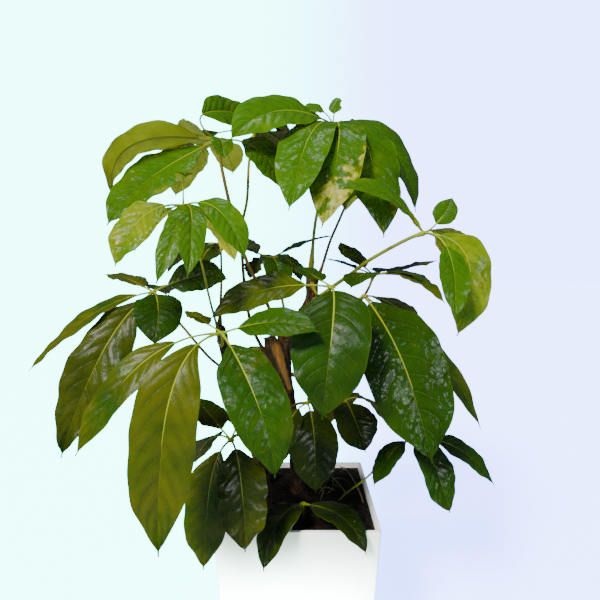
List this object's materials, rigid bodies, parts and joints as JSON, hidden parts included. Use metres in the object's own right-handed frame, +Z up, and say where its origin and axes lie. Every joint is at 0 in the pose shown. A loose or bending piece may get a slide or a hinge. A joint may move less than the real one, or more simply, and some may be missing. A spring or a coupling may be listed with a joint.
{
  "type": "potted umbrella plant",
  "caption": "Bushy umbrella plant with whorls of drooping oval leaflets on long stalks, growing in soil in a white tapered square pot.",
  "frame": {"origin": "middle of the pot's underside, on the surface that it stands on", "axes": "+Z up along the plant, +X to the right and +Y away from the viewer, square to the pot's sides"},
  "size_m": [0.5732, 0.4345, 0.7287],
  "materials": {
    "pot": "smooth white glaze, semi-gloss",
    "soil": "damp black potting soil, crumbly and matte",
    "bark": "rough brown bark with leaf rings and a peeling flap",
    "straw": "dry pale stalk, matte",
    "young_leaf": "glossy waxy leaf, bright green with yellow mottling",
    "mature_leaf": "glossy waxy leaf, dark green, pale midrib",
    "green_stalk": "smooth yellow-green stalk",
    "brown_stalk": "smooth reddish-brown stalk"
  },
  "bodies": {
    "root": {"pot": "pot", "soil": "soil", "trunk": "bark", "second_cane": "bark", "dry_stub_1": "straw", "dry_stub_2": "straw", "dry_stub_3": "straw", "top_leaf_leaflets": "young_leaf", "top_leaf_petiole": "green_stalk", "upper_left_leaf_leaflets": "young_leaf", "upper_left_leaf_petiole": "brown_stalk", "upper_back_leaf_leaflets": "mature_leaf", "upper_back_leaf_petiole": "brown_stalk", "upper_right_leaf_leaflets": "young_leaf", "upper_right_leaf_petiole": "brown_stalk", "left_young_leaf_leaflets": "young_leaf", "left_young_leaf_petiole": "green_stalk", "right_young_leaf_leaflets": "young_leaf", "right_young_leaf_petiole": "green_stalk", "right_flat_leaf_leaflets": "mature_leaf", "right_flat_leaf_petiole": "brown_stalk", "middle_leaf_leaflets": "mature_leaf", "middle_leaf_petiole": "green_stalk", "right_big_leaf_leaflets": "mature_leaf", "right_big_leaf_petiole": "brown_stalk", "front_left_leaf_leaflets": "mature_leaf", "front_left_leaf_petiole": "green_stalk", "left_dark_leaf_leaflets": "mature_leaf", "left_dark_leaf_petiole": "brown_stalk", "middle_back_leaf_leaflets": "mature_leaf", "middle_back_leaf_petiole": "brown_stalk", "low_left_leaf_leaflets": "mature_leaf", "low_left_leaf_petiole": "brown_stalk", "low_middle_leaf_leaflets": "mature_leaf", "low_middle_leaf_petiole": "brown_stalk", "low_shade_leaf_leaflets": "mature_leaf", "low_shade_leaf_petiole": "brown_stalk", "low_right_leaf_leaflets": "mature_leaf", "low_right_leaf_petiole": "green_stalk", "back_left_leaf_leaflets": "mature_leaf", "back_left_leaf_petiole": "brown_stalk", "back_right_leaf_leaflets": "mature_leaf", "back_right_leaf_petiole": "brown_stalk", "back_low_leaf_leaflets": "mature_leaf", "back_low_leaf_petiole": "brown_stalk", "seedling_leaflets": "mature_leaf", "seedling_petiole": "green_stalk"}
  },
  "joints": []
}
